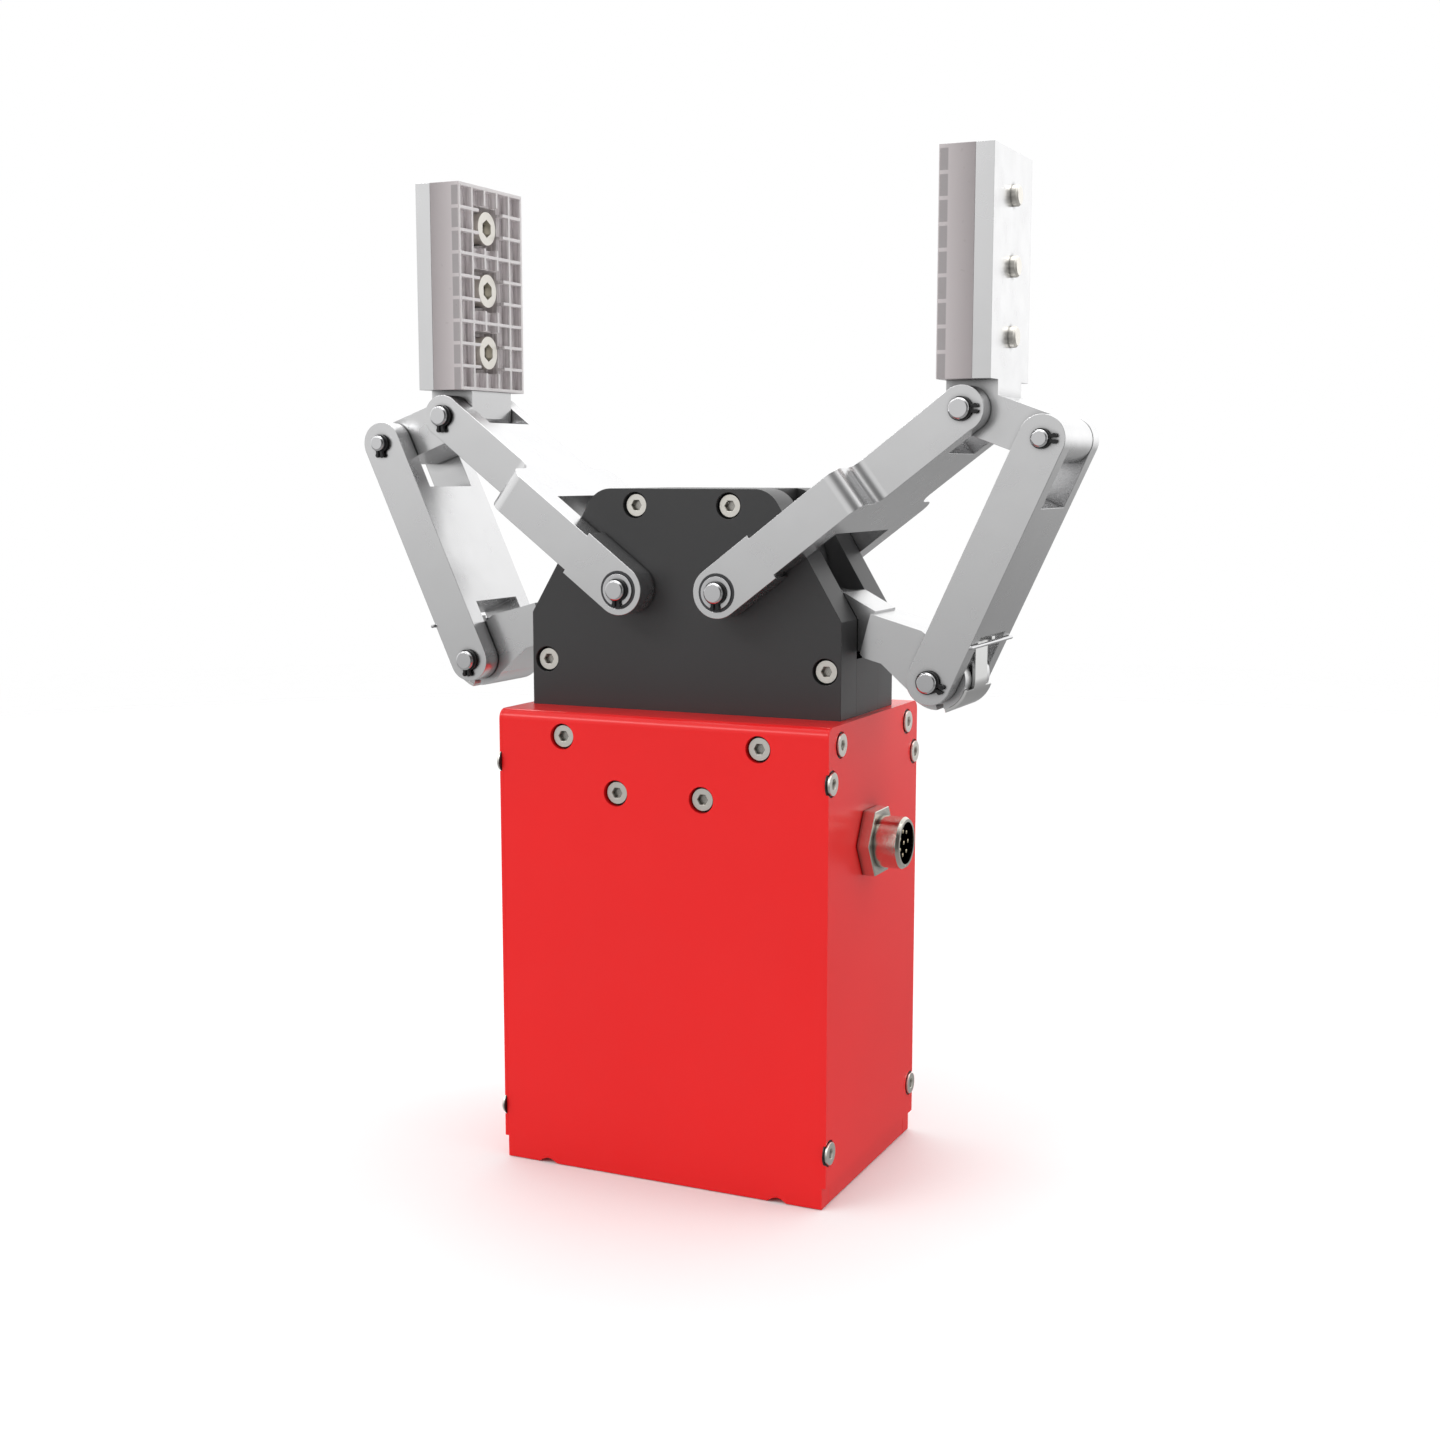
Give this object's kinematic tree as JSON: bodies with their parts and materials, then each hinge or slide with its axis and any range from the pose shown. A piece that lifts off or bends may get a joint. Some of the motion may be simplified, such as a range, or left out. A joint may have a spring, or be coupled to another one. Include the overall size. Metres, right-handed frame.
{
  "type": "two-finger linkage gripper",
  "caption": "Robot gripper: boxed motor housing, black head and parallel-motion linkage fingers with ribbed rubber pads, driven by a rack, cranks and links.",
  "frame": {"origin": "middle of the flat base face that bolts to the robot", "axes": "+X is the opening direction of the fingers, towards the side with the connector; +Y points to the back; +Z points from the base to the fingertips"},
  "size_m": [0.1888, 0.0644, 0.2486],
  "materials": {
    "red_paint": "satin red powder coat",
    "plain_aluminium": "machined",
    "screw_steel": "bright nickel-plated steel",
    "plain_steel": "ground steel",
    "pin_steel": "ground and polished",
    "spring_steel": "polished spring steel",
    "dark_parts": "dark enamel and moulded plastic",
    "circuit_board": "green solder mask",
    "nickel_plate": "nickel-plated brass",
    "contact_metal": "gold-flashed contacts",
    "black_plastic": "moulded",
    "black_anodised": "black anodised aluminium",
    "black_clip": "black phosphated spring steel",
    "bronze": "sintered bronze",
    "link_aluminium": "satin",
    "pad_rubber": "clear grey elastomer"
  },
  "bodies": {
    "housing": {"base_plate": "red_paint", "housing_shell": "red_paint", "side_cover_left": "red_paint", "side_cover_right": "red_paint", "drive_plate": "plain_aluminium", "motor_bracket": "plain_aluminium", "bracket_screws": "screw_steel", "gearbox": "plain_steel", "motor": "dark_parts", "encoder_cap": "dark_parts", "controller_board": "circuit_board", "board_components": "dark_parts", "board_spacers": "nickel_plate", "connector_nut": "nickel_plate", "connector_barrel": "nickel_plate", "connector_insert": "black_plastic", "connector_pins": "contact_metal", "head_front_plate": "black_anodised", "head_rear_plate": "black_anodised", "head_spacers": "black_anodised", "head_mount_bolts": "screw_steel", "head_screws": "screw_steel", "shell_screws": "screw_steel", "cover_screws": "screw_steel", "screw_washers": "black_clip", "screw_bearing": "plain_steel", "crank_bearings": "bronze", "link_pivot_pins": "pin_steel", "link_pivot_clips": "black_clip"},
    "drive_rack": {"drive_rack": "plain_steel", "rack_nut": "bronze"},
    "drive_screw": {"drive_screw": "plain_steel", "screw_coupling": "plain_aluminium"},
    "crank_right": {"crank_right": "link_aluminium", "crank_shaft_right": "plain_steel", "return_spring_right": "spring_steel"},
    "inner_link_right": {"inner_link_right": "link_aluminium", "link_bushes_right": "dark_parts", "inner_pin_right": "pin_steel", "inner_clips_right": "black_clip"},
    "outer_link_right": {"outer_link_right": "link_aluminium", "outer_pins_right": "pin_steel", "outer_clips_right": "black_clip"},
    "finger_right": {"finger_right": "link_aluminium", "pad_right": "pad_rubber", "pad_screws_right": "screw_steel"},
    "crank_left": {"crank_left": "link_aluminium", "crank_shaft_left": "plain_steel", "return_spring_left": "spring_steel"},
    "inner_link_left": {"inner_link_left": "link_aluminium", "link_bushes_left": "dark_parts", "inner_pin_left": "pin_steel", "inner_clips_left": "black_clip"},
    "outer_link_left": {"outer_link_left": "link_aluminium", "outer_pins_left": "pin_steel", "outer_clips_left": "black_clip"},
    "finger_left": {"finger_left": "link_aluminium", "pad_left": "pad_rubber", "pad_screws_left": "screw_steel"}
  },
  "joints": [
    {"name": "rack_slide", "type": "slide", "parent": "housing", "child": "drive_rack", "axis": [0, 0, -1], "range_m": [0, 0.02286]},
    {"name": "screw_turn", "type": "hinge", "parent": "housing", "child": "drive_screw", "pos_m": [0, 0, 0.1], "axis": [0, 0, 1], "range_deg": [0, 1660]},
    {"name": "crank_right_turn", "type": "hinge", "parent": "housing", "child": "crank_right", "pos_m": [0.0323, 0, 0.1398], "axis": [0, -1, 0], "range_deg": [0, 58.5]},
    {"name": "inner_link_right_turn", "type": "hinge", "parent": "housing", "child": "inner_link_right", "pos_m": [0.0133, 0, 0.1467], "axis": [0, -1, 0], "range_deg": [0, 58.5]},
    {"name": "finger_right_turn", "type": "hinge", "parent": "inner_link_right", "child": "finger_right", "pos_m": [0.06993, 0, 0.18969], "axis": [0, 1, 0], "range_deg": [0, 58.5]},
    {"name": "outer_link_right_turn", "type": "hinge", "parent": "finger_right", "child": "outer_link_right", "pos_m": [0.08893, 0, 0.18279], "axis": [0, -1, 0], "range_deg": [0, 58.5]},
    {"name": "crank_left_turn", "type": "hinge", "parent": "housing", "child": "crank_left", "pos_m": [-0.0323, 0, 0.1398], "axis": [0, 1, 0], "range_deg": [0, 58.5]},
    {"name": "inner_link_left_turn", "type": "hinge", "parent": "housing", "child": "inner_link_left", "pos_m": [-0.0133, 0, 0.1467], "axis": [0, 1, 0], "range_deg": [0, 58.5]},
    {"name": "finger_left_turn", "type": "hinge", "parent": "inner_link_left", "child": "finger_left", "pos_m": [-0.06993, 0, 0.18969], "axis": [0, -1, 0], "range_deg": [0, 58.5]},
    {"name": "outer_link_left_turn", "type": "hinge", "parent": "finger_left", "child": "outer_link_left", "pos_m": [-0.08893, 0, 0.18279], "axis": [0, 1, 0], "range_deg": [0, 58.5]}
  ],
  "couplings": [
    {"joint": "screw_turn", "follows": "rack_slide", "rad_per_m": 1256.6},
    {"joint": "crank_right_turn", "follows": "rack_slide", "rad_per_m": 44.444},
    {"joint": "inner_link_right_turn", "follows": "rack_slide", "rad_per_m": 44.444},
    {"joint": "finger_right_turn", "follows": "rack_slide", "rad_per_m": 44.444},
    {"joint": "outer_link_right_turn", "follows": "rack_slide", "rad_per_m": 44.444},
    {"joint": "crank_left_turn", "follows": "rack_slide", "rad_per_m": 44.444},
    {"joint": "inner_link_left_turn", "follows": "rack_slide", "rad_per_m": 44.444},
    {"joint": "finger_left_turn", "follows": "rack_slide", "rad_per_m": 44.444},
    {"joint": "outer_link_left_turn", "follows": "rack_slide", "rad_per_m": 44.444}
  ]
}
